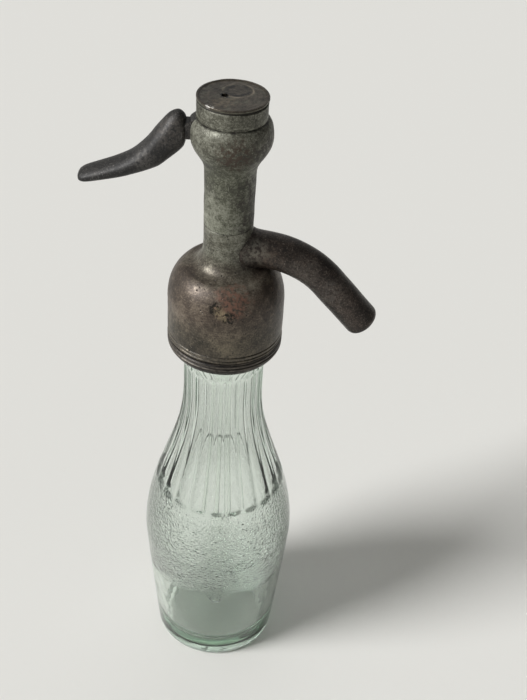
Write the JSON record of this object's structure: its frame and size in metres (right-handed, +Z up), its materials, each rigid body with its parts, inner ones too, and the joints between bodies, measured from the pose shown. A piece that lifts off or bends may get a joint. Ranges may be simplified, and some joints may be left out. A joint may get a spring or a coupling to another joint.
{
  "type": "soda siphon",
  "caption": "Fluted green-tinted glass soda siphon bottle with a patinated cast head, side lever, sprung plunger valve and downturned spout.",
  "frame": {"origin": "centre of the bottle's flat base", "axes": "+Z up along the bottle's axis, +X towards the spout, the lever towards -X"},
  "size_m": [0.1305, 0.0764, 0.3221],
  "materials": {
    "bottle_glass": "thick pale green glass, fluted above and pebbled below",
    "tube_glass": "clear drawn glass",
    "pewter": "cast pewter, aged, warm grey-brown, pitted",
    "green_pewter": "cast pewter, greenish grey bloom",
    "dark_pewter": "cast pewter, dark brown, handled smooth",
    "black_pewter": "cast pewter, near black, fine scratches",
    "brass": "dull turned brass",
    "rubber": "matt black rubber",
    "leather": "waxed leather",
    "spring_steel": "drawn spring wire",
    "pin_steel": "plain steel pin"
  },
  "bodies": {
    "siphon": {"bottle": "bottle_glass", "dip_tube": "tube_glass", "tube_sleeve": "rubber", "tube_nut": "brass", "neck_washer": "rubber", "split_ring_left": "brass", "split_ring_right": "brass", "collar_ring": "dark_pewter", "head_body": "pewter", "spout": "dark_pewter", "seat_gasket": "leather", "valve_seat": "brass", "packing": "leather", "gland_nut": "brass", "column": "green_pewter", "guide_nut": "brass", "spring": "spring_steel", "cap_gasket": "leather", "cap": "dark_pewter", "lever_pin": "pin_steel"},
    "lever": {"lever": "black_pewter"},
    "plunger": {"plunger": "brass", "plunger_foot": "brass", "valve_washer": "rubber", "washer_screw": "brass"}
  },
  "joints": [
    {"name": "lever_press", "type": "hinge", "parent": "siphon", "child": "lever", "pos_m": [-0.0125, 0, 0.3073], "axis": [0, -1, 0], "range_deg": [0, 12], "stiffness_Nm_per_rad": 1.5, "springref_deg": -20.05},
    {"name": "plunger_lift", "type": "slide", "parent": "siphon", "child": "plunger", "axis": [0, 0, 1], "range_m": [0, 0.0027], "deforming": ["spring"]}
  ],
  "couplings": [
    {"joint": "plunger_lift", "follows": "lever_press", "m_per_rad": 0.0125}
  ]
}
